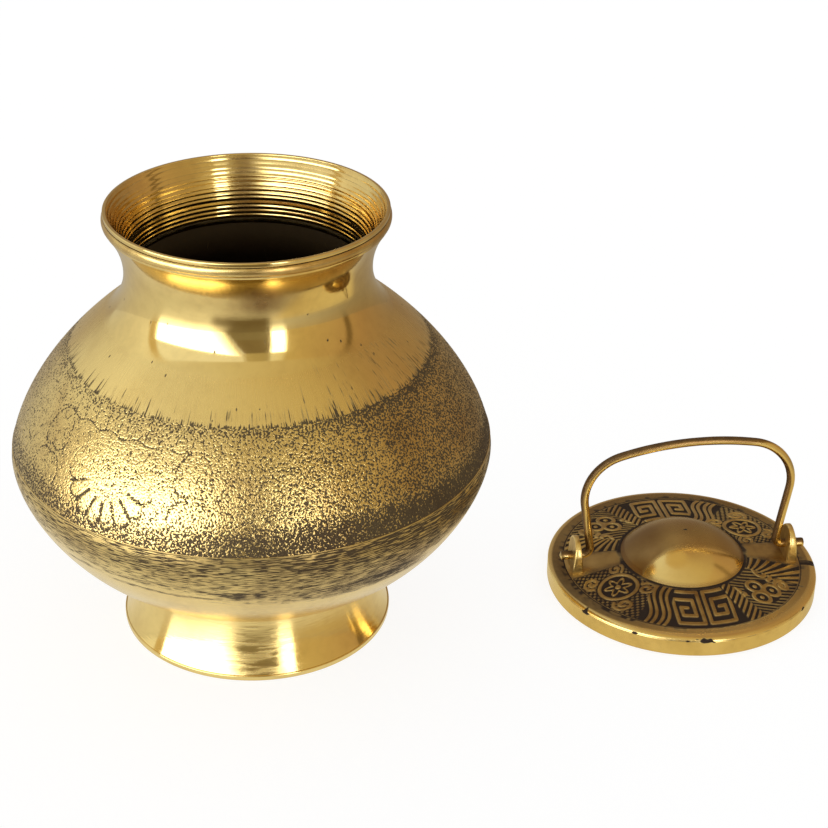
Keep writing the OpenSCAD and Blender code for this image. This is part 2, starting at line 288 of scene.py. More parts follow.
def grid_mesh(name, points, ring, marks, sharp):
    """Mesh through a grid of points. Columns close on themselves. Rows close too for a ring, and otherwise end in two
    poles. Marks give the dirt, wear and polish, 0 where they are left out. On some pieces the dirt and wear marks
    also hold painted shade and painted reflections."""
    rows, cols = points.shape[:2]
    v = run(points[:, 0])
    if ring:
        place = np.arange(rows * cols).reshape(rows, cols)
        co, low, high = points.reshape(-1, 3), place, np.roll(place, -1, 0)
        v = np.append(v, v[-1] + np.linalg.norm(points[0, 0] - points[-1, 0]))
        pick = slice(None)
    else:
        place = 1 + np.arange((rows - 2) * cols).reshape(rows - 2, cols)
        co = np.vstack([points[0, :1], points[1:-1].reshape(-1, 3), points[-1, :1]])
        low, high = place[:-1], place[1:]
        pick = np.concatenate([[0], np.arange(cols, (rows - 1) * cols), [rows * cols - 1]])
    v /= v[-1]
    faces = np.stack([low, np.roll(low, -1, 1), np.roll(high, -1, 1), high], -1).reshape(-1, 4)
    u = np.arange(cols) / cols
    su = np.broadcast_to(np.stack([u, u + 1 / cols, u + 1 / cols, u], -1), low.shape + (4,))
    first = 0 if ring else 1
    sv = np.stack([v[first:first + len(low)]] * 2 + [v[first + 1:first + 1 + len(low)]] * 2, -1)
    uv = np.stack([su, np.broadcast_to(sv[:, None], su.shape)], -1).reshape(-1, 2)
    faces = faces.tolist()
    if not ring:
        a, b = place[0], place[-1]
        faces += np.stack([np.zeros_like(a), np.roll(a, -1), a], -1).tolist()
        faces += np.stack([b, np.roll(b, -1), np.full_like(b, len(co) - 1)], -1).tolist()
        for at, edge, order in ((v[0], v[1], (0.5, 1, 0)), (v[-1], v[-2], (0, 1, 0.5))):
            tu = u[:, None] + np.array(order) / cols
            tv = np.broadcast_to(np.where(np.array(order) == 0.5, at, edge), tu.shape)
            uv = np.vstack([uv, np.stack([tu, tv], -1).reshape(-1, 2)])
    mesh = bpy.data.meshes.new(name)
    mesh.from_pydata(co, [], faces)
    mesh.uv_layers.new(name="OFBake").data.foreach_set("uv", uv.ravel().astype(np.float32))
    for key in ("dirt", "wear", "polish"):
        value = np.broadcast_to(np.asarray(marks.get(key, 0.0), float), (rows, cols)).ravel()[pick]
        mesh.attributes.new(key, "FLOAT", "POINT").data.foreach_set("value", value.astype(np.float32))
    mesh.shade_smooth()
    mesh.set_sharp_from_angle(angle=math.radians(sharp))
    mesh.validate()
    return mesh


def add_piece(name, points, marks, finish, node, slot, sharp, ring=True, body="pot"):
    """Puts a grid of points into the scene as a piece that rides on a body and stands for a node."""
    mesh = grid_mesh(name, points, ring, marks, sharp)
    piece = bpy.data.objects.new(name, mesh)
    bpy.context.scene.collection.objects.link(piece)
    mesh.materials.append(finish)
    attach(piece, body)
    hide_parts(node)


def turned(outline, cols, middle=0.0, relief=None, ring=True):
    """Grid of points: (radius, height) carried round the upright axis at x = middle. Relief, one number for each
    point, moves it along the outline's normal."""
    turn = np.arange(cols) * TURN / cols
    r, z = np.repeat(outline[:, :1], cols, 1), np.repeat(outline[:, 1:], cols, 1)
    if relief is not None:
        n = outward(np.vstack([outline[-1:], outline, outline[:1]]) if ring else outline)
        n = n[1:-1] if ring else n
        r, z = r + relief * n[:, :1], z + relief * n[:, 1:]
    return np.stack([middle + r * np.cos(turn), r * np.sin(turn), z], -1)


# Finishes


class Wire:
    """A number on its way through a node tree. + - * / and the methods add Math nodes."""

    def __init__(self, tree, socket):
        self.tree, self.socket = tree, socket

    def maths(self, operation, *values):
        node = self.tree.nodes.new("ShaderNodeMath")
        node.operation = operation
        for slot, value in zip(node.inputs, values):
            if isinstance(value, Wire):
                self.tree.links.new(value.socket, slot)
            else:
                slot.default_value = value
        return Wire(self.tree, node.outputs[0])

    def __add__(self, other): return self.maths("ADD", self, other)
    def __radd__(self, other): return self.maths("ADD", other, self)
    def __sub__(self, other): return self.maths("SUBTRACT", self, other)
    def __rsub__(self, other): return self.maths("SUBTRACT", other, self)
    def __mul__(self, other): return self.maths("MULTIPLY", self, other)
    def __rmul__(self, other): return self.maths("MULTIPLY", other, self)
    def __truediv__(self, other): return self.maths("DIVIDE", self, other)
    def __rtruediv__(self, other): return self.maths("DIVIDE", other, self)
    def __pow__(self, other): return self.maths("POWER", self, other)

    def limit(self, low=0.0, high=1.0):
        return self.maths("MAXIMUM", self.maths("MINIMUM", self, high), low)


class Finish:
    """A material and its node tree."""

    def __init__(self, name):
        self.material = bpy.data.materials.new(name)
        self.material.use_nodes = True
        self.tree = self.material.node_tree
        self.tree.nodes.clear()

    def node(self, kind, inputs=None, output=0, **settings):
        """Adds one node: its settings first, then the values or links of its sockets. Gives the chosen output."""
        node = self.tree.nodes.new("ShaderNode" + kind)
        for key, value in settings.items():
            setattr(node, key, value)
        for key, value in (inputs or {}).items():
            slot = node.inputs[key]
            if isinstance(value, Wire):
                self.tree.links.new(value.socket, slot)
            elif isinstance(value, bpy.types.NodeSocket):
                self.tree.links.new(value, slot)
            else:
                slot.default_value = value
        found = node.outputs[output] if node.outputs else node
        return Wire(self.tree, found) if getattr(found, "type", "") == "VALUE" else found

    def mark(self, name):
        return self.node("Attribute", output="Fac", attribute_name=name)

    def noise(self, vector, scale, detail=3.0, rough=0.55):
        inputs = {"Vector": vector, "Scale": scale, "Detail": detail, "Roughness": rough}
        return self.node("TexNoise", inputs, "Fac")

    def smooth(self, value, low, high, start=0.0, end=1.0):
        inputs = {"Value": value, "From Min": low, "From Max": high, "To Min": start, "To Max": end}
        return self.node("MapRange", inputs, interpolation_type="SMOOTHSTEP")

    def blend(self, share, a, b):
        four = [tuple(c) + (1.0,) if isinstance(c, (tuple, list)) and len(c) == 3 else c for c in (a, b)]
        return self.node("Mix", {0: share, 6: four[0], 7: four[1]}, 2, data_type="RGBA")

    def split(self, vector):
        """The three numbers of a vector."""
        parts = self.node("SeparateXYZ", {0: vector}).socket.node.outputs
        return [Wire(self.tree, s) for s in parts]

    def around(self, middle, by, pitch, flat=False, both=False):
        """Coordinates that run round an upright axis: direction times by, and height, or radius when flat, or their
        sum, times pitch."""
        place = self.node("TexCoord", output="Object")
        x, y, z = self.split(self.node("VectorMath", {0: place, 1: (middle, 0, 0)}, operation="SUBTRACT"))
        r = (x * x + y * y) ** 0.5 + 1e-6
        along = r if flat else z + r * 0.6 if both else z
        return self.node("CombineXYZ", {0: x / r * by, 1: y / r * by, 2: along * pitch})

    def mix(self, share, a, b):
        return self.node("MixShader", {0: share, 1: a, 2: b}, "Shader")

    def glow(self, **inputs):
        return self.node("Emission", inputs, "Emission")

    def done(self, **inputs):
        shader = self.node("BsdfPrincipled", {k.replace("_", " "): v for k, v in inputs.items()}, "BSDF")
        self.node("OutputMaterial", {"Surface": shader})
        return self.material


def tint(name):
    return tuple(getattr(bpy.context.scene.brass_colours, name))


def brass_finish(name, gloss=0.15, middle=0.0, lines=1500.0, cut=0.3, flat=False, film=0.25, warm=0.15,
                 strokes=False, grain=None, relief=0.0):
    """Brass: clean metal, a thin uneven film, turning or brushing lines, and soot where the dirt attribute says so.
    The wear attribute turns it towards the tarnish colour. On some pieces the dirt and wear attributes also carry
    painted shade and painted reflections, besides real soot and tarnish. The polish attribute smooths it. With a
    grain, dirt is the share of dark: fine noise below the level of that share is soot. One number makes specks of
    that scale, and two numbers make dashes, by their measures round and along the axis. Relief is the height of the
    grain."""
    f = Finish(name)
    place = f.node("TexCoord", output="Object")
    cloud = f.noise(place, scale=55.0, detail=4.0)
    fine = f.noise(place, scale=420.0)
    if strokes:
        groove = f.noise(f.around(middle, by=260.0, pitch=90.0), scale=1.0, detail=2.0)
    else:
        groove = f.noise(f.around(middle, by=5.0, pitch=lines, flat=flat), scale=1.0)
    dirt, wear, polish = f.mark("dirt"), f.mark("wear"), f.mark("polish")
    base = f.blend(f.smooth(cloud, 0.35, 0.75) * warm, tint("brass"), tint("copper"))
    filmed = f.smooth(cloud * 0.6 + fine * 0.4, 0.42, 0.70) * film
    base = f.blend((filmed + wear).limit(), base, tint("tarnish_and_shade"))
    height = (groove + fine * 0.3) * cut * (1 - 0.8 * polish)
    if grain:
        if len(grain) == 1:
            speck = f.noise(place, scale=grain[0], detail=1.0, rough=0.45)
        else:
            speck = f.noise(f.around(middle, *grain, both=True), scale=1.0, detail=1.0, rough=0.4)
        soot_and_shade = f.smooth(0.36 + 0.28 * dirt - speck + (fine - 0.5) * 0.1, -0.04, 0.04)
        soot_and_shade = soot_and_shade * f.smooth(dirt, 0.02, 0.16) * 0.9
        height = height + speck * relief
    else:
        soot_and_shade = f.smooth(dirt + (fine - 0.5) * 0.25, 0.15, 0.85)
    base = f.blend(soot_and_shade, base, tint("soot_and_shade"))
    rough = gloss + (groove - 0.5) * 0.10 + (cloud - 0.5) * 0.08 + wear * 0.2
    rough = (rough * (1 - 0.65 * polish) + soot_and_shade * 0.3).limit(0.04, 0.9)
    bump = f.node("Bump", {"Strength": 1.0, "Distance": 0.00006, "Height": height})
    return f.done(Base_Color=base, Metallic=1 - 0.75 * soot_and_shade, Roughness=rough, Normal=bump, Specular_IOR_Level=0.2)


# Operators


class POT_OT_stage(bpy.types.Operator):
    """Adds the camera, the pale floor, the studio's windows and walls, and the white surround"""

    bl_idname = "pot.stage"
    bl_label = "Stage"

    def execute(self, context):
        scene = bpy.context.scene
        scene.view_settings.view_transform = "Standard"
        data = bpy.data.cameras.new("camera")
        data.lens, data.sensor_width, data.clip_start, data.clip_end = LENS, SENSOR, 0.01, 50.0
        tilt, side, roll = (math.radians(a) for a in CAMERA_ANGLES)
        ahead = np.array([math.sin(side) * math.cos(tilt), math.cos(side) * math.cos(tilt), -math.sin(tilt)])
        right = np.array([math.cos(side), -math.sin(side), 0.0])
        up = np.cross(right, ahead)
        right, up = math.cos(roll) * right + math.sin(roll) * up, math.cos(roll) * up - math.sin(roll) * right
        camera = bpy.data.objects.new("camera", data)
        place = np.eye(4)
        place[:3] = np.stack([right, up, -ahead, np.array(CAMERA_PLACE)], 1)
        camera.matrix_world = Matrix(place.tolist())
        scene.collection.objects.link(camera)
        scene.camera = camera
        self.surround(scene)
        self.floor()
        self.studio()
        return {"FINISHED"}

    def surround(self, scene):
        """White all round, at full strength where it is seen or reflected and at 0.7 as light."""
        world = bpy.data.worlds.new("white_surround")
        world.use_nodes = True
        tree = world.node_tree
        path = tree.nodes.new("ShaderNodeLightPath").outputs
        camera, glossy, clear = (Wire(tree, path[f"Is {k} Ray"]) for k in ("Camera", "Glossy", "Transmission"))
        strength = 0.7 + 0.3 * (camera + glossy + clear).limit()
        back = tree.nodes["Background"]
        back.inputs["Color"].default_value = (1, 1, 1, 1)
        tree.links.new(strength.socket, back.inputs["Strength"])
        scene.world = world

    def floor(self):
        """Flat square under the object, which shows white and keeps a faint shadow. In the metal it shows as white
        paper on a table, brighter towards the windows, darker in front and warm round the lid, with some sheen at a
        low angle."""
        half, drop = 3, 0.0002
        side = half * np.array([[-1, -1], [1, -1], [1, 1], [-1, 1]], float)
        mesh = bpy.data.meshes.new("floor")
        mesh.from_pydata(np.column_stack([side, np.full(4, -drop)]), [], [[0, 1, 2, 3]])
        f = Finish("white_floor")
        path = f.node("LightPath", output="Is Camera Ray").socket.node.outputs
        seen, glossy = Wire(f.tree, path["Is Camera Ray"]), Wire(f.tree, path["Is Glossy Ray"])
        paint, faint = (f.node("BsdfDiffuse", {"Color": (c, c, c, 1)}, "BSDF") for c in (0.8, 0.22))
        x, y, _ = f.split(f.node("TexCoord", output="Object"))
        away = (x * x + y * y) ** 0.5
        lit_side = ((x * -0.77 + y * -0.64) / (away + 0.05) * 0.5 + 0.5).limit()
        far = f.blend(lit_side, (0.30, 0.24, 0.16), (0.82, 0.82, 0.76))
        near = f.blend(lit_side, (0.74, 0.72, 0.68), (0.88, 0.87, 0.80))
        front = f.smooth((x * -0.174 + y * -0.985) / away, 0.88, 0.94) * f.smooth(away, 0.17, 0.25)
        shade = f.blend(f.smooth(away, 0.07, 0.17), near, f.blend(front, far, (0.18, 0.14, 0.08)))
        lid_side = f.smooth(x, 0.05, 0.10) * f.smooth(y, 0.07, 0.03) * f.smooth(away, 0.30, 0.20)
        shade = f.blend(lid_side, shade, (0.70, 0.60, 0.36))
        mirror = f.node("BsdfGlossy", {"Color": (0.9, 0.9, 0.9, 1), "Roughness": 0.25}, "BSDF")
        low = f.smooth(f.node("LayerWeight", {"Blend": 0.5}, "Facing"), 0.62, 0.98, 0.05, 0.6)
        table = f.mix(low, f.glow(Color=shade), mirror)
        lit = f.node("AddShader", {0: faint, 1: f.glow(Strength=0.85)}, "Shader")
        f.node("OutputMaterial", {"Surface": f.mix(glossy, f.mix(seen, paint, lit), table)})
        mesh.materials.append(f.material)
        floor = bpy.data.objects.new("floor", mesh)
        bpy.context.scene.collection.objects.link(floor)

    def studio(self):
        """Upright walls on a circle round the pot, and a ceiling. Each runs between two bearings and two heights,
        from one shade to another. A bearing that differs at the low and the high edge is a pair, and so is the height
        of an edge that slopes. Bearings run from the camera's side towards the lid."""
        day, oak = (5.2, 5.2, 5.1), (0.42, 0.38, 0.29)
        walls = (
            ("window_left", -86, (-38, -24), 0.0, (0.38, 0.68), day),
            ("window_edge", (-38, -24), (-22, -8), 0.0, (0.68, 0.76), day, oak),
            ("post", (-22, -17), 15, 0.0, 0.22, (0.27, 0.23, 0.15)),
            ("post_top", (-17, -8), 15, 0.22, 0.64, (0.24, 0.19, 0.11)),
            ("window_right", 15, 27, 0.0, 0.64, day),
            ("wall_over_left", -86, -8, (0.38, 0.76), 1.0, (1.0, 1.02, 1.0), (0.94, 0.93, 0.86)),
            ("wall_over_post", -8, 14, 0.64, 1.0, (0.55, 0.47, 0.28), (0.44, 0.37, 0.20)),
            ("wall_over_right", 14, 27, 0.64, 1.0, (0.95, 0.92, 0.80), (0.85, 0.78, 0.55)),
            ("wall_right", 27, 84, 0.0, 1.0, (0.64, 0.52, 0.27), (0.52, 0.37, 0.20)),
            ("frame_right", 84, 90, 0.0, 1.0, (0.22, 0.15, 0.07)),
            ("wall_right_end", 90, 97, 0.0, 1.0, (0.50, 0.35, 0.19), (0.48, 0.33, 0.18)),
            ("wall_far", 97, 150, 0.0, 1.0, (0.46, 0.31, 0.17), (0.30, 0.23, 0.16)),
            ("wall_back", 150, 215, 0.0, 1.0, (0.28, 0.20, 0.14), (0.45, 0.40, 0.34)),
            ("wall_left", 215, 266, 0.0, 1.0, (0.66, 0.66, 0.61), (0.98, 0.97, 0.88)),
            ("frame_left", 266, 274, 0.0, 1.0, (0.66, 0.52, 0.27)),
        )
        for name, *edges, first, last in (w if len(w) == 7 else w + w[-1:] for w in walls):
            start, end, low, high = (np.broadcast_to(e, 2) for e in edges)
            rows = []
            for a, b, z in ((start[0], end[0], low), (start[1], end[1], high)):
                turn = np.radians(np.linspace(a, b, 24))
                rows.append(np.column_stack([np.sin(turn), -np.cos(turn), np.linspace(*z, 24)]))
            self.card(name, np.stack(rows), first, last)
        ceilings = (
            ("ceiling_left", -150, -20, 1.0, 0.3, (0.84, 0.86, 0.84), (0.70, 0.64, 0.46)),
            ("ceiling_front", -20, 60, 1.0, 0.3, (0.70, 0.64, 0.46), (0.60, 0.49, 0.27)),
            ("ceiling_right", 60, 125, 1.0, 0.3, (0.60, 0.49, 0.27), (0.38, 0.25, 0.14)),
            ("ceiling_back", 125, 210, 1.0, 0.3, (0.36, 0.23, 0.13), (0.60, 0.56, 0.46)),
            ("ceiling_middle", 0, 360, 0.3, 0.002, (0.60, 0.47, 0.24), (0.60, 0.47, 0.24)),
        )
        for name, start, end, outer, inner, first, last in ceilings:
            turn = np.radians(np.linspace(start, end, 33))
            rows = [np.column_stack([q * np.sin(turn), -q * np.cos(turn), np.full(33, 1.0 + 0.2 * (1 - q))])
                    for q in (outer, inner)]
            self.card(name, np.stack(rows), first, last)

    def card(self, name, points, first, last):
        """A glowing sheet through two rows of points, which runs from the first shade to the last. Only the metal's
        reflections see it."""
        rows, cols = points.shape[:2]
        place = np.arange(rows * cols).reshape(rows, cols)
        faces = np.stack([place[:-1, :-1], place[:-1, 1:], place[1:, 1:], place[1:, :-1]], -1)
        mesh = bpy.data.meshes.new(name)
        mesh.from_pydata(points.reshape(-1, 3), [], faces.reshape(-1, 4).tolist())
        shade = np.append(np.linspace(first, last, cols), np.ones((cols, 1)), 1)
        glow = mesh.attributes.new("glow", "FLOAT_COLOR", "POINT")
        glow.data.foreach_set("color", np.tile(shade, (rows, 1)).ravel().astype(np.float32))
        f = Finish(name)
        light = f.node("Attribute", output="Color", attribute_name="glow")
        f.node("OutputMaterial", {"Surface": f.glow(Color=light, Strength=1.0)})
        mesh.materials.append(f.material)
        card = bpy.data.objects.new(name, mesh)
        card.visible_camera = card.visible_diffuse = card.visible_shadow = False
        bpy.context.scene.collection.objects.link(card)


class POT_OT_foot(bpy.types.Operator):
    """Builds the flared foot: a plain edge, a bowed side with a scratched patch, and a thin line above the edge"""

    bl_idname = "pot.foot"
    bl_label = "Foot"

    def execute(self, context):
        s = sizes()
        cols, wall, bow = 360, 0.0020, 0.0009
        edge_h, fillet, rounding = 0.0016, 0.0004, 0.0003
        a, b = np.array([s.foot_r - fillet, edge_h]), np.array([s.foot_top_r, s.foot_h])
        t = np.linspace(0, 1, 40)[:, None]
        along = unit(b - a)
        side = a + t * (b - a) + 4 * t * (1 - t) * bow * np.array([-along[1], along[0]])
        inside = side[::-1] - [wall, 0]
        edge = chain(line((s.foot_r - wall, 0), (s.foot_r - fillet, 0), 4),
                     arc((s.foot_r - fillet, fillet), fillet, -90, 0, 6),
                     arc((s.foot_r - rounding, edge_h - rounding), rounding, 0, 90, 5))
        outline = chain(edge, side, line(side[-1], inside[0], 3), inside,
                        line(inside[-1], (s.foot_r - fillet - wall, 0), 3))
        finish = brass_finish("mirror_brass", gloss=0.09, lines=1800.0, film=0.12)
        turn, _, z = spread(outline, cols)
        scratch = bell(turn, 266, 14) * (0.2 + 0.65 * ease(0.35, 0.65, lattice(turn, 60, z / 0.5, 5)))
        marks = {"polish": -4 * scratch}
        add_piece("foot", turned(outline, cols), marks, finish, "foot_ring", "polished_brass", 40)
        return {"FINISHED"}


class POT_OT_lower_bowl(bpy.types.Operator):
    """Builds the bowl below the seam, with streaks from turning under the seam"""

    bl_idname = "pot.lower_bowl"
    bl_label = "Lower bowl"

    def execute(self, context):
        s = sizes()
        cols, floor_rows, inner_rows, streaks_z, bead_h = 580, 11, 13, 0.036, 0.0006
        whole = chain(bowl_line(200), shoulder_line(200))
        side = chain(between(whole, s.foot_h, streaks_z, 40), between(whole, streaks_z, s.seam_z, 104))
        bead = side[-1] + MM * np.array([[0.12, -0.55], [0.2, -0.3], [0.12, -0.05], [-0.1, 0.0]])
        side = chain(side[side[:, 1] < s.seam_z - bead_h], bead)
        inner = (side - s.wall * outward(side))[np.linspace(len(side) - 1, 0, inner_rows).round().astype(int)]
        floor = line((0, s.foot_h), (s.foot_top_r, s.foot_h), floor_rows + 1)[:-1]
        outline = chain(floor, side, inner[1:], (0, inner[-1, 1]))
        turn, _, z = spread(outline, cols)
        patch = lattice(turn, 11, z / 5, 8)
        flaw = lattice(turn, 26, z / 1.3, 3)
        right = bell(turn, 305, 34)
        share = 0.48 * ease(44.0, 54, z + 5 * (patch - 0.5) + 4 * right)
        share = share * (0.50 + 0.4 * patch + 0.35 * flaw + 0.6 * right)
        share = share + 0.55 * ease(0.55, 0.85, flaw) * stroke(z - 44.5, 2.6, 1.4) * patch
        share = share + 0.6 * right * stroke(z - 42.5, 2.4, 1.2) * ease(0.3, 0.6, patch)
        row = np.arange(len(outline))[:, None] - floor_rows
        outside = (row > 0) & (row < len(side))
        # Rows inside the pot are blackened and browned as painted shade.
        dirt = np.where(outside, share * ease(57.9, 57.4, z), INSIDE_PAINTED_SHADE)
        wear = np.where(outside, (0.24 + 0.2 * right) * ease(0.05, 0.45, share), INSIDE_PAINTED_SHADE_FILM)
        finish = brass_finish("streaked_brass", gloss=0.25, lines=1400.0, cut=0.35, film=0.2,
                              grain=(20.0, 4600.0), relief=0.3)
        points = turned(outline, cols, ring=False)
        marks = {"dirt": dirt, "wear": wear}
        add_piece("bowl", points, marks, finish, "lower_bowl", "turned_brass", 50, ring=False)
        return {"FINISHED"}


class POT_OT_upper_bowl(bpy.types.Operator):
    """Builds the engraved band in three rings, and the plain shoulder above it"""

    bl_idname = "pot.upper_bowl"
    bl_label = "Engraved band and shoulder"

    def execute(self, context):
        s = sizes()
        whole = shoulder_line(400)
        rows, cols = 148, 1840
        band = between(whole, s.seam_z, s.band_z, rows)
        height, dirt, wear = self.engraving(band, cols)
        finish = brass_finish("pitted_brass", gloss=0.2, lines=500.0, cut=0.1, film=0.3, warm=0.25,
                              grain=(2000.0,), relief=2.2)
        cuts = np.linspace(0, rows - 1, 4).round().astype(int)
        for k, name in enumerate(("band_low", "band_middle", "band_high")):
            part = slice(cuts[k], cuts[k + 1] + 1)
            self.ring(name, band[part], cols, height[part], dirt[part], wear[part], finish)
        self.shoulder(between(whole, s.band_z, s.waist_z, 62), 1440)
        return {"FINISHED"}

    def ring(self, name, side, cols, height, dirt, wear, finish):
        """One ring of the band: the engraved side, moved by its height, and a plain wall inside it."""
        inner = (side - sizes().wall * outward(side))[[-1, 0]]
        # The plain inside wall is blackened and browned as painted shade.
        marks = {"dirt": pad(dirt, 2, INSIDE_PAINTED_SHADE), "wear": pad(wear, 2, INSIDE_PAINTED_SHADE_FILM)}
        points = turned(np.vstack([side, inner]), cols, 0, pad(height, 2, 0))
        add_piece(name, points, marks, finish, "upper_bowl", "engraved_brass", 75)

    def engraving(self, side, cols):
        """Height in metres, dirt and wear over the band. Dirt is the share of dark wanted. A worm-like grain covers
        it: noise below the level of that share lies lower and is darker. Flowers and leaves are cut as fine lines,
        and the grain closes up into two dark borders."""
        turn, r, _ = spread(side, cols)
        up = run(side)[:, None] / MM
        top = up[-1, 0]
        left, right = bell(turn, 230, 30), bell(turn, 330, 38)
        patch = lattice(turn, 14, up / 9, 31)
        shown = np.clip(0.22 + 0.78 * left - 0.2 * bell(turn, 288, 36), 0, 1)
        lines, petal = (a * shown for a in self.flowers(turn, up, r))
        sway = 1.6 * lattice(turn, 230, up / 1.7, 20)
        grain = 0.6 * lattice(turn, 860, up / 0.46 + sway, 21, sway) + 0.4 * lattice(turn, 1300, up / 0.30, 22)
        ragged = 2.2 * patch + 1.2 * lattice(turn, 150, up / 30, 23)
        low, high = ease(6.5 + ragged, 1.2 + ragged, up), ease(top - 4.6, top - 0.8, up)
        share = 0.31 + 0.16 * (patch - 0.5) + 0.26 * right + 0.12 * right * low
        share = share - 0.10 * left - 0.13 * bell(turn, 200, 25)
        share = share + np.maximum(0.40 * low, 0.24 * high) - 0.12 * petal
        pit = below(grain, share)
        dirt = np.clip(np.maximum(share + 0.16 * (pit - 0.4), 1.1 * lines), 0.1, 1.3)
        height = -0.00004 * pit - 0.00007 * lines + 0.00008 * petal
        wear = 0.03 + 0.14 * patch + 0.10 * low + 0.20 * right
        edge = ease(0, 0.5, up) * ease(top, top - 0.5, up)
        return height * edge, dirt, wear * (1 - 0.6 * petal)

    def flowers(self, turn, up, r):
        """Eight flowers round the band, each with sixteen petals about a ringed eye. Between them are leaf sprays
        over crossed lines, and a row of tiles runs under the upper border."""
        count, first, middle = 8, 230, 15.0
        each = (turn * count - first * count / 360 + 0.5) % 1 - 0.5
        x, y = each * TURN * r / count, up - middle
        d, a = np.hypot(x, y), np.arctan2(y, x)
        wave = np.abs(np.sin(8 * a))
        tip = 10.5 + 3.2 * wave**0.6
        low = 0.2 + 0.8 * ease(1, -5, y)
        rim = stroke(d - tip, 0.3) * ease(4, 6, d)
        spoke = ease(0.5, 0.2, wave * d / 8) * ease(5.5, 7.5, d) * ease(13.5, 12.5, d)
        eye = stroke(d - 4.6, 0.25)
        petal = ease(tip, tip - 1.2, d) * ease(5, 7, d) * ease(0.25, 0.6, wave * d / 8) * low
        sx = 25.7 - np.abs(x)
        spray = [stroke(np.hypot(sx - u, (y - v) * flat) - w, 0.25)
                 for u, v, flat, w in ((4.5, 5, 0.7, 4.0), (4.0, -6, 0.8, 3.4))]
        spray = np.maximum.reduce(spray + [stroke(sx - 3.0 * np.sin(y / 4.2), 0.25)])
        spray = spray * ease(9.5, 8, sx) * ease(14.5, 15.5, d)
        cross = np.maximum(stroke((x + y) % 5.2 - 2.6, 0.2), stroke((x - y) % 5.2 - 2.6, 0.2)) * ease(15, 16, d)
        tiles = stroke(x % 4.2 - 2.1, 0.2) * ease(25.2, 25.6, up) * ease(29.2, 28.8, up)
        tiles = np.maximum(tiles, stroke(up - 25.2 + 0.5 * np.cos(x / 1.3), 0.22))
        return np.maximum.reduce([rim * low, spoke * low, 0.3 * eye, spray, 0.45 * cross, 0.9 * tiles]), petal

    def shoulder(self, side, cols):
        """The plain shoulder, polished towards the waist. Outside, short strokes of grime run up from the band, with
        a few specks; inside, the wall is blackened and browned as painted shade."""
        turn = np.arange(cols)[None] / cols
        up = run(side)[:, None] / MM
        right = bell(turn, 318, 30)
        hair = lattice(turn, 700, up / 3.4, 51, 0.5 * np.sin(up / 3) + 0.9 * right * up)
        patch = lattice(turn, 17, up / 4, 52)
        near = ease(8.0, 0.0, up) * (0.35 + 0.65 * patch) + 0.6 * right * ease(22, 7, up) * (0.3 + 0.7 * patch)
        hair = ease(0.60, 0.82, hair) * near
        specks, cell = 60, 4.6
        gap, own = nearest_mark(turn, specks, up / cell, TURN * side[:, :1] / specks, cell * MM, 53)
        dirt = np.maximum(0.13 * near + 0.34 * hair, ease(0.00028, 0.00012, gap) * (own > 0.86) * 1.3)
        dirt = np.maximum(dirt, ease(1.6, 0.0, up) * ease(0.35, 0.6, lattice(turn, 500, up / 0.6, 54)))
        inner = (side - sizes().wall * outward(side))[::-10]
        rest = len(inner)
        # Its inside rows are blackened and browned as painted shade.
        marks = {"dirt": pad(dirt, rest, INSIDE_PAINTED_SHADE), "wear": pad(0.2 * hair + 0.10 * right, rest, INSIDE_PAINTED_SHADE_FILM),
                 "polish": pad(ease(0.0935, 0.0975, side[:, 1:]), rest, 0)}
        finish = brass_finish("satin_brass", gloss=0.27, film=0.12, warm=0.10, cut=0.2, strokes=True,
                              grain=(170.0, 260.0), relief=0.05)
        points = turned(np.vstack([side, inner]), cols, 0, -0.00003 * marks["dirt"])
        add_piece("shoulder", points, marks, finish, "upper_bowl", "engraved_brass", 50)


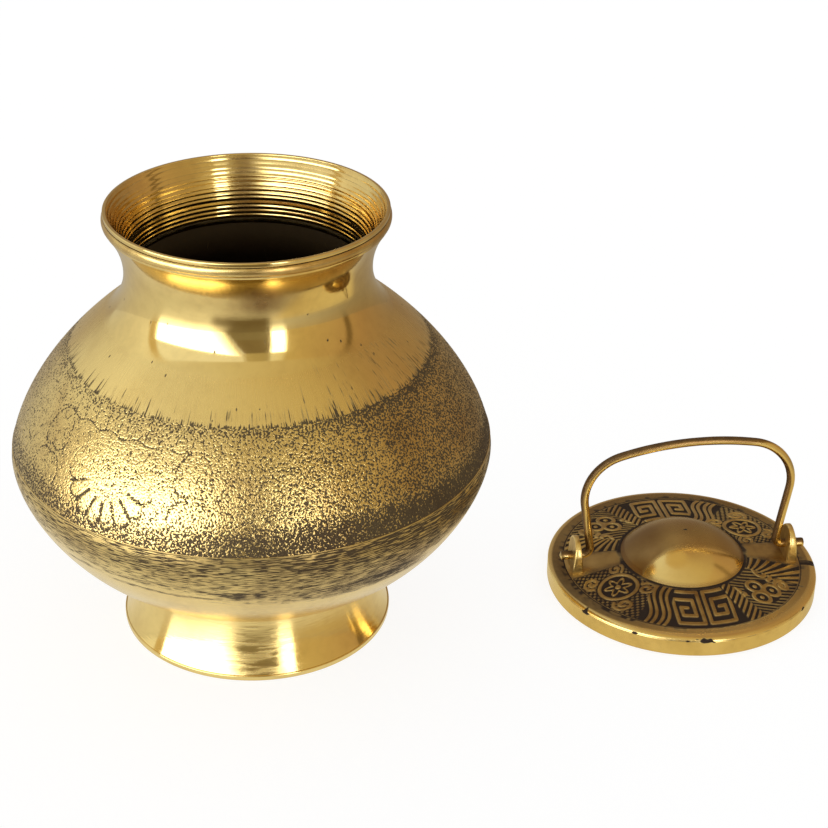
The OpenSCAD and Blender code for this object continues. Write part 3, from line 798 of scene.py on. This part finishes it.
class POT_OT_neck(bpy.types.Operator):
    """Builds the flared neck with its lip and turned ridges, and the half round ring under the lip"""

    bl_idname = "pot.neck"
    bl_label = "Neck and rim ring"

    def execute(self, context):
        """Outside and inside are arcs that leave the waist upright. The inside's ridges are the absolute value of a
        sine along its arc, uneven in height. The neck leans more and more towards its lip."""
        s = sizes()
        cols, flare, rounding, small = 420, 0.022, 0.0003, 0.00025
        ring_h, ring_gap, lip_step, lip_h, lip_wall = 0.0024, 0.0005, 0.0001, 0.0037, 0.001
        lap, tenon, pitch = 0.0014, 0.0009, 0.0013
        seat = s.lip_r - rounding
        middle = np.array([s.waist_r + flare, s.waist_z])
        out = arc(middle, flare, 180, 180 - math.degrees(math.acos((middle[0] - seat) / flare)), 48)
        ring_z = out[-1, 1] + ring_gap
        ring_top, lip_z = ring_z + ring_h, ring_z + lip_h
        lip = chain(line((seat, ring_top), (s.lip_r - 0.0002, ring_top + lip_step), 3),
                    arc((seat, ring_top + lip_step + rounding), rounding, -90, 0, 5),
                    arc((seat, lip_z - rounding), rounding, 0, 90, 5),
                    arc((s.lip_r - lip_wall + small, lip_z - small), small, 90, 180, 5))
        low_r, tall = s.waist_r - s.wall, lip_z - small - s.waist_z
        wide = s.lip_r - lip_wall - low_r
        reach = (wide**2 + tall**2) / (2 * wide)
        deep = math.asin(tall / reach)
        count = round(reach * deep / pitch)
        steps = count * 9 + 1
        angle = np.linspace(np.pi - deep, np.pi, steps)
        phase = np.linspace(0, count, steps)
        ridge = np.abs(np.sin(np.pi * phase))
        uneven = 0.6 + 0.4 * np.sin(2.3 * phase) * np.sin(0.7 * phase + 1)
        rise = (0.00007 + 0.00017 * phase / count) * ridge * uneven - 0.0001 * ease(0, 1, phase)
        inside = [low_r + reach, s.waist_z] + (reach + rise)[:, None] * np.stack([np.cos(angle), np.sin(angle)], 1)
        foot = line((low_r, s.waist_z - lap), (s.waist_r - tenon, s.waist_z - lap), 3)
        outline = chain(foot, (s.waist_r - tenon, s.waist_z), out, (seat, ring_z), lip, inside)
        first = len(outline) - steps
        turn, _, z = spread(outline, cols)
        dirt, wear = np.zeros((2, len(outline), cols))
        wave = lattice(turn, 40, phase[:, None] * 2, 61)
        painted_depth_shade = ease(0.45, 1.0, phase / count)[:, None]
        # Darker in the grooves between the ridges. Painted shade: darker and browner further down into the neck,
        # towards the dark inside.
        dirt[first:] = 0.5 * ((1 - ridge) ** 2)[:, None] * (0.45 + 0.55 * wave) + 0.06 * painted_depth_shade**2
        wear[first:] = 0.10 + 0.20 * painted_depth_shade * ease(0.45, 0.7, wave)
        # Painted reflections: two dark upright bands on the inside at the back of the neck.
        wear[first:] += 0.6 * bell(turn, 89, 6) + 0.22 * bell(turn, 116, 9)
        wear[:first] += 0.85 * bell(turn, 274, 13) * stroke(z[:first] - 113, 4.0, 2.5)

        def leaning(points):
            points[..., 2] -= LIP_LEAN * points[..., 1] / s.lip_r * ease(s.waist_z, lip_z, points[..., 2])
            return points

        finish = brass_finish("neck_polish", gloss=0.10, lines=900.0, cut=0.2, film=0.16, warm=0.2)
        marks = {"dirt": dirt, "wear": wear}
        add_piece("neck", leaning(turned(outline, cols)), marks, finish, "neck_collar", "neck_brass", 60)
        t, stand, bulge = np.radians(np.linspace(-90, 90, 17)), 0.00005, 0.00065
        bead = np.stack([seat + stand + bulge * np.cos(t), ring_z + ring_h / 2 * (1 + np.sin(t))], 1)
        marks = {"wear": 0.18, "dirt": 0.8 * np.abs(np.sin(t))[:, None] ** 12}
        finish = brass_finish("bead_satin", gloss=0.24, lines=2200.0, cut=0.4, warm=0.8)
        add_piece("rim_bead", leaning(turned(bead, 360)), marks, finish, "rim_ring", "polished_brass", 60)
        return {"FINISHED"}


def residue(turn, z, crease):
    """Dirt on the lid's edge: black marks in the crease at a few bearings, ragged by noise, and a thin dark line all
    round. Each mark has its bearing, its half width in degrees and its half height in millimetres."""
    rough = lattice(turn, 240, z / 0.5, 91)
    dirt = 0.55 * stroke(z - crease, 0.12, 0.1) * ease(0.35, 0.6, rough)
    marks = ((266.5, 4.2, 0.8), (259, 1.2, 0.45), (352, 3.0, 1.9), (318, 3.0, 0.5), (213, 2.2, 0.9), (237, 1.6, 0.5))
    for middle, wide, high in marks:
        near = np.hypot(apart(turn, middle) / wide, (z - crease) / high)
        dirt = np.maximum(dirt, 0.98 * ease(1.1, 0.6, near + 0.9 * (rough - 0.5)))
    return dirt


class POT_OT_lid_band(bpy.types.Operator):
    """Builds the lid's upright band"""

    bl_idname = "pot.lid_band"
    bl_label = "Lid band"

    def execute(self, context):
        s = sizes(True)
        cols, wall, fillet, rounding, ledge = 720, 0.0014, 0.0004, 0.0003, 0.00065
        r, h, flat = s.lid_r, s.band_h, 0.0006
        seat = h - PLATE_STEP
        outline = chain(line((r - wall, 0), (r - fillet, 0), 3), arc((r - fillet, fillet), fillet, -90, 0, 6),
                        line((r, flat), (r, h - flat), 8), arc((r - rounding, h - rounding), rounding, 0, 90, 6),
                        line((r - ledge, h), (r - ledge, seat), 3), line((r - wall, seat), (r - wall, 0), 3))
        finish = brass_finish("lid_band_satin", gloss=0.2, middle=s.middle_x, cut=0.35, film=0.2)
        turn, _, z = spread(outline, cols)
        dirt = residue(turn, z, h / MM) * (np.arange(len(outline)) < len(outline) - 6)[:, None]
        points = turned(outline, cols, s.middle_x)
        add_piece("lid_side", points, {"dirt": dirt}, finish, "lid_band", "lid_band_brass", 50, body="lid")
        return {"FINISHED"}


class POT_OT_lid_plate(bpy.types.Operator):
    """Builds the lid's top: rounded rim with its border, patterned field and dome"""

    bl_idname = "pot.lid_plate"
    bl_label = "Lid plate"

    def execute(self, context):
        s = sizes(True)
        under = s.band_h - PLATE_STEP
        look = {"gloss": 0.24, "middle": s.middle_x, "lines": 900.0, "flat": True}
        self.rim(s, under, brass_finish("rim_copper", film=0.06, warm=0.2, **look))
        self.field(s, under, brass_finish("lid_patina", film=0.3, warm=0.3, **look))
        self.dome(s)
        return {"FINISHED"}

    def rim(self, s, under, finish):
        """Quarter ellipse from the band up to the border, and the flat border with its faint radial ticks."""
        cols, seat = 1000, s.lid_r - 0.0007
        wide, tall = s.lid_r - s.border_r, s.border_z - s.band_h
        t = np.radians(np.linspace(0, 90, 24))
        rim = np.stack([s.border_r + wide * np.cos(t), s.band_h + tall * np.sin(t)], 1)
        outline = chain(line((s.field_r, under), (seat, under), 4), (seat, s.band_h), rim,
                        line(rim[-1], (s.field_r, s.border_z), 20))
        turn, r, z = spread(outline, cols)
        tick = ease(0.45, 0.8, lattice(turn, 230, r / 1.6, 71)) * ease(36.6, 35.6, r)
        patch = lattice(turn, 12, r / 3, 72)
        front = bell(turn, 285, 45)
        edge, end = s.field_r / MM, 37.8 - 0.9 * front + bell(turn, 197, 45)
        wear = ease(end, end - 0.7, r) * (0.66 + 0.3 * patch) * (1 - 0.95 * front)
        dirt = 0.36 * (1 - front) + 0.2 * bell(turn, 205, 40)
        dirt = dirt + 0.5 * tick * (0.4 + 0.6 * patch) * (1 - 0.5 * front)
        dirt = ease(end - 0.2, end - 0.7, r) * dirt + 0.85 * ease(edge + 0.45, edge + 0.05, r) * (1 - 0.4 * front)
        dirt = np.maximum(dirt, residue(turn, z, s.band_h / MM))
        top = (np.arange(len(outline)) > 4)[:, None]
        relief = -0.00005 * tick * (z > s.border_z / MM - 0.01)
        points = turned(outline, cols, s.middle_x, relief * top)
        marks = {"dirt": dirt * top, "wear": wear * top}
        add_piece("lid_rim", points, marks, finish, "lid_plate", "lid_brass", 50, body="lid")

    def field(self, s, under, finish):
        """A cone from the border up to the dome, moved by the ornament's height. Its cuts are dark, and so are the
        dome's foot and the edges of the plain strips beside the lugs. Painted shade darkens and browns the field
        towards the pot and the front, and next to the lugs."""
        rows, cols = 86, 1100
        top = line((s.field_r, s.border_z), (s.dome_r, s.dome_z), rows)
        outline = np.vstack([top, [(s.dome_r - LID_SHEET, s.dome_z - LID_SHEET)], [(s.field_r, under)]])
        turn, r, _ = spread(top, cols)
        raised, plain = self.ornament(turn, r)
        cloud = lattice(turn, 30, r / 3, 77)
        height = 0.00040 * raised - 0.00020 * (1 - plain)
        share = np.linspace(0, 1, rows)[:, None]
        edge = ease(0, 0.04, share) * ease(1, 0.97, share)
        foot = ease(19.4, 18.2, r - 0.9 * lattice(turn, 110, r / 3, 78))
        beside = np.abs((turn * 360 + 90) % 180 - 90)
        # Painted shade: the field is darkened and browned towards the pot and the front, and next to the lugs.
        painted_field_shade = bell(turn, 225, 50) * (1 - 0.7 * plain)
        painted_field_shade = painted_field_shade + 0.5 * ease(5, 10, beside + 4 * (cloud - 0.5)) * ease(17, 11, beside)
        dirt = np.maximum(0.84 * (1 - raised) * (1 - plain), 0.7 * foot * (0.5 + 0.5 * cloud))
        dirt = dirt + plain * (0.05 + 0.14 * cloud + 0.25 * ease(6, 10, beside)) + 0.08 * painted_field_shade
        wear = 0.36 + 0.28 * cloud - 0.12 * raised + 0.32 * painted_field_shade + 0.14 * bell(turn, 300, 50)
        points = turned(outline, cols, s.middle_x, pad(height * edge, 2, 0))
        marks = {"dirt": pad(dirt, 2, 0.4), "wear": pad(wear, 2, 0.4)}
        add_piece("lid_field", points, marks, finish, "lid_plate", "lid_brass", 75, body="lid")

    def ornament(self, turn, r):
        """Raised lines and plain strips, 0 to 1, the same after half a turn. Each motif is drawn in millimetres, x
        round the lid and y out from the dome, as strokes about paths."""
        half = turn * 360 % 180
        inner, tall = 18, 14.45
        y = (r - inner) * tall / (r.max() - inner)

        def place(middle):
            return np.radians(half - middle) * r

        def within(low, high):
            return ease(low - 1, low + 1, half) * ease(high + 1, high - 1, half)

        def curls(wide, *rows):
            return [stroke(to_path(x, y, curl(*row)), wide) for row in rows]

        plain = np.clip(1 - within(11, 169) + ease(1.0, 0.5, y) + ease(14.1, 14.4, y), 0, 1)
        x = place(32)
        d, a = np.hypot(x, y - 7), np.arctan2(y - 7, x)
        flower = [stroke(d, 0.8), stroke(d - 2.5 - 0.9 * np.cos(6 * a), 0.42), stroke(d - 5.0, 0.5)]
        flower += curls(0.45, (6.4, 3.2, 2.6, 200, 1.4), (-6.6, 3.4, 2.4, 340, -1.4), (6.6, 11.2, 2.6, 160, -1.4),
                        (-6.4, 11.2, 2.4, 20, 1.4))
        scales = ease(0.42, 0.7, 0.5 + 0.5 * np.cos(x * TURN / 1.7) * np.cos(y * TURN / 1.7)) * ease(5.6, 6.2, d)
        flower = np.maximum.reduce(flower + [0.6 * scales]) * within(11, 55)
        x = place(62) - 1.6 * np.sin((y - 7.2) / 2.8)
        bands = np.maximum.reduce([stroke(x - k, 0.5) for k in (-2.7, -1.0, 1.0, 2.7)]) * within(53, 71)
        x = np.abs(place(90))
        steps = [(0, 0), (1, 0), (1, 1), (-1, 1), (-1, -1), (2, -1), (2, 2), (-2, 2), (-2, -2), (2.5, -2)]
        fret = stroke(to_path(x, y, np.array(steps) * [1.85, 2.75] + [4.6, 7.2]), 0.55) * within(70, 110)
        hatch = stroke((place(115) * 0.7 + y) % 1.7 - 0.85, 0.4) * within(111, 120)
        x = place(134)
        cloud = curls(0.55, (7.0, 4.6, 3.0, 120, -1.5), (-6.2, 4.0, 2.4, 60, 1.4), (6.6, 11.0, 2.3, 200, 1.3))
        for u, v in ((-2.5, 9.4), (2.4, 9.6), (0, 5.8)):
            d = np.hypot(x - u, y - v)
            cloud += [stroke(d - 2.1, 0.5), stroke(d, 0.6)]
        cloud += [0.6 * stroke((x - y) % 1.8 - 0.9, 0.35) * ease(4.4, 5.0, np.hypot(x, y - 8))]
        cloud = np.maximum.reduce(cloud) * within(120, 152)
        angle = np.degrees(np.arctan2(y - 1, place(160) + 9))
        fan = stroke(angle % 9 - 4.5, 1.9, 0.8) * within(152, 169)
        return np.maximum.reduce([flower, bands, fret, hatch, cloud, fan]) * (1 - plain), plain

    def dome(self, s):
        """Two caps of a sphere, one under the other, each through its foot and its top: the sphere's radius is
        (r r + h h) / 2 h. Behind a bent line the dome is browner, as it reflects the room's back."""
        cols, rows_under = 240, 16
        caps = []
        for r, z, count in ((s.dome_r - LID_SHEET, s.dome_z - LID_SHEET, rows_under), (s.dome_r, s.dome_z, 40)):
            big = (r**2 + s.dome_h**2) / (2 * s.dome_h)
            caps.append(arc((0, z + s.dome_h - big), big, math.degrees(math.acos(r / big)), 90, count))
        under, top = caps
        outline = chain(under[::-1], top)
        turn = np.arange(cols) * TURN / cols
        x, y = top[:, :1] * np.cos(turn), top[:, :1] * np.sin(turn)
        bright = -0.0073 - 0.38 * np.clip(-0.0065 - x, 0, None)
        painted_back_reflection = ease(bright - 0.0005, bright + 0.0010, y) * (1 - 0.5 * ease(0.004, 0.011, y))
        dirt, wear = np.zeros((2, len(outline), cols))
        reflection_brown = 0.56 + 0.32 * ease(-0.003, -0.010, x) + 0.14 * ease(0.006, 0.012, x)
        # Painted reflection of the room's back: behind the bent line the dome is browned through the wear mark, with
        # a dark line along it; its front is left bright.
        wear[rows_under:] = 0.01 + 0.6 * ease(0.0168, 0.018, top[:, :1]) + painted_back_reflection * reflection_brown
        wear[rows_under:] += 0.3 * stroke((y - bright) / MM, 0.3, 0.3)
        dirt[rows_under:] = ease(0.0010, 0.0003, np.hypot(x - 0.0003, 1.6 * y))
        finish = brass_finish("dome_polish", gloss=0.17, middle=s.middle_x, lines=700.0, cut=0.08, flat=True,
                              film=0.06, warm=0.2)
        points = turned(outline, cols, s.middle_x, ring=False)
        marks = {"dirt": dirt, "wear": wear}
        add_piece("lid_dome", points, marks, finish, "lid_plate", "lid_brass", 60, ring=False, body="lid")


class POT_OT_lugs(bpy.types.Operator):
    """Builds the two filed lugs that hold the bail"""

    bl_idname = "pot.lugs"
    bl_label = "Lugs"

    def execute(self, context):
        s = sizes(True)
        finish = brass_finish("lug_filed", gloss=0.3, middle=s.middle_x, lines=2500.0, cut=0.5, film=0.15, warm=0.05)
        for name, side in (("lug_left", -1), ("lug_right", 1)):
            add_piece(name + "_filed", *self.lug(s, side), finish, name, "lug_brass", 50, body="lid")
        return {"FINISHED"}

    def lug(self, s, side):
        """Points and marks. Rows go from the pivot hole out over one face, round the edge and back over the other
        face. Columns go round a straight sided outline with a round top. The thickness tapers upwards and the edges
        are eased."""
        cols, half, sunk, tall, play = 120, 0.0047, 0.0006, 0.0100, 0.00008
        half_thick, taper = 0.0017, 0.0010
        low, high = s.border_z - sunk, s.border_z + tall
        loop = chain(line((half, low), (half, high - half), 20), arc((0, high - half), half, 0, 180, 50)[1:],
                     line((-half, high - half), (-half, low), 20)[1:], line((-half, low), (half, low), 10)[1:-1])
        loop = even(np.vstack([loop, loop[:1]]), cols + 1)[:-1]
        pivot = np.array([0, s.pivot_z])
        hole = pivot + (s.wire_r + play) * unit(loop - pivot)
        share = np.array([0.0, 0.3, 0.6, 0.84, 0.94, 0.985, 1.0])
        share = np.append(share, share[::-1])[:, None]
        depth = np.array([-1, -1, -1, -1, -0.97, -0.9, -0.72])
        depth = np.append(depth, -depth[::-1])[:, None]
        yz = hole + share[..., None] * (loop - hole)
        y, z = yz[..., 0], yz[..., 1]
        thick = half_thick - taper * np.clip((z - low) / (high - low), 0, 1)
        turn, row = np.arange(cols)[None] / cols, np.arange(len(depth))[:, None]
        lump = lattice(turn, cols // 6, row / 2.5, 81 + side)
        swell = 1 + 0.16 * (lump - 0.5) * share * ease(high, low, z)
        points = np.stack([s.middle_x + side * s.lug_x + depth * thick * swell, y, z], -1)
        wear = 0.55 * (share < 0.9) * (0.5 + 0.8 * lump)
        return points, {"dirt": 0.5 * ease(low + 0.002, low + 0.0004, z) * lump, "wear": wear}


class POT_OT_bail(bpy.types.Operator):
    """Builds the bent wire bail: a round wire carried along arch, corners, legs, bends and pivots"""

    bl_idname = "pot.bail"
    bl_label = "Bail"

    def execute(self, context):
        """Circles across the wire's middle line, a little uneven, wider at the peened ends, with round caps."""
        s = sizes(True)
        cols, dents, dent, peen_x, peen, cap = 40, 80, 0.004, 0.0339, 0.00012, 0.0007
        path = np.vstack([self.side_line(-1)[::-1], self.side_line(1)[1:]])
        along = run(path)
        peened = np.clip((np.abs(path[:, 0]) - peen_x) / 0.0003, 0, 1) * (path[:, 1] < 0.002)
        hammered = 0.03 * (lattice(along / (dents * dent), dents, np.zeros(len(path)), 95) - 0.5)
        radius = s.wire_r * (1 + hammered) + peen * peened
        end = np.minimum(along, along[-1] - along)
        radius = radius * np.sqrt(np.clip(1 - (1 - np.clip(end / cap, 0, 1)) ** 2, 0, 1))
        n = outward(path)
        turn = np.arange(cols)[None] / cols
        across, y = (radius[:, None] * f(turn * TURN) for f in (np.cos, np.sin))
        x, z = (path[:, k:k + 1] + across * n[:, k:k + 1] for k in (0, 1))
        points = np.stack([s.middle_x + x, y, s.pivot_z + z], -1)
        finish = brass_finish("wire_drawn", gloss=0.13, middle=s.middle_x, lines=300.0, cut=0.05, film=0.1, warm=0.3)
        shade = lattice(turn, 8, along[:, None] / 0.009, 96)
        # Painted shade and highlight: the wire's upper left side is darkened and browned through the wear and dirt
        # marks, and its lower side is left bright.
        painted_shade_side = np.cos(turn * TURN) * (0.6 * n[:, 1:] - 0.8 * n[:, :1]) + 0.3 * (shade - 0.5)
        marks = {"wear": 0.02 + 0.93 * ease(0.02, 0.27, painted_shade_side), "dirt": 0.5 * ease(0.2, 0.55, painted_shade_side)}
        add_piece("bail", points, marks, finish, "bail_handle", "wire_brass", 60, ring=False, body="bail")
        return {"FINISHED"}

    def side_line(self, side):
        """One half of the wire's middle line, from the top of the arch: arch, corner, leg, bend and pivot. The leg
        touches the corner's and the bend's circles. The arch's top lies to the right of the lid's axis."""
        arch_r, corner_r, bend_r, tall, wide, shift = 0.085, 0.014, 0.0021, 0.0362, 0.0303, side * 0.0047
        bend_x, end_x = 0.0299, 0.0367
        turn = math.asin((wide - corner_r - shift) / (arch_r - corner_r))
        corner = np.array([wide - corner_r, tall - arch_r + (arch_r - corner_r) * math.cos(turn)])
        bend = np.array([bend_x, bend_r])
        reach = bend - corner
        lean = math.atan2(-reach[1], reach[0]) - math.acos((corner_r + bend_r) / np.linalg.norm(reach))
        turn, lean = math.degrees(turn), math.degrees(lean)
        half = chain(arc((shift, tall - arch_r), arch_r, 90, 90 - turn, 40),
                     arc(corner, corner_r, 90 - turn, -lean, 30), arc(bend, bend_r, 180 - lean, 270, 16),
                     line((bend_x, 0), (end_x, 0), 14))
        return even(half, 150) * [side, 1]


class POT_PT_panel(bpy.types.Panel):
    """Lists the pot's sizes, colours and operators"""

    bl_label = "Brass water pot"
    bl_idname = "POT_PT_panel"
    bl_space_type = "VIEW_3D"
    bl_region_type = "UI"
    bl_category = "Pot"

    def draw(self, context):
        for group in (context.scene.pot_sizes, context.scene.lid_sizes, context.scene.brass_colours):
            box = self.layout.box()
            for key in group.__annotations__:
                box.prop(group, key)
        for operator in OPERATORS:
            self.layout.operator(operator.bl_idname)


OPERATORS = (POT_OT_stage, POT_OT_foot, POT_OT_lower_bowl, POT_OT_upper_bowl, POT_OT_neck, POT_OT_lid_band,
             POT_OT_lid_plate, POT_OT_lugs, POT_OT_bail)
GROUPS = (("pot_sizes", PotSizes), ("lid_sizes", LidSizes), ("brass_colours", BrassColours))


def register():
    for name, group in GROUPS:
        bpy.utils.register_class(group)
        setattr(bpy.types.Scene, name, PointerProperty(type=group))
    for item in OPERATORS + (POT_PT_panel,):
        bpy.utils.register_class(item)


def unregister():
    for item in (POT_PT_panel,) + OPERATORS[::-1]:
        bpy.utils.unregister_class(item)
    for name, group in GROUPS[::-1]:
        delattr(bpy.types.Scene, name)
        bpy.utils.unregister_class(group)


def main():
    register()
    for operator in OPERATORS:
        family, name = operator.bl_idname.split(".")
        getattr(getattr(bpy.ops, family), name)()


if __name__ == "__main__":
    main()
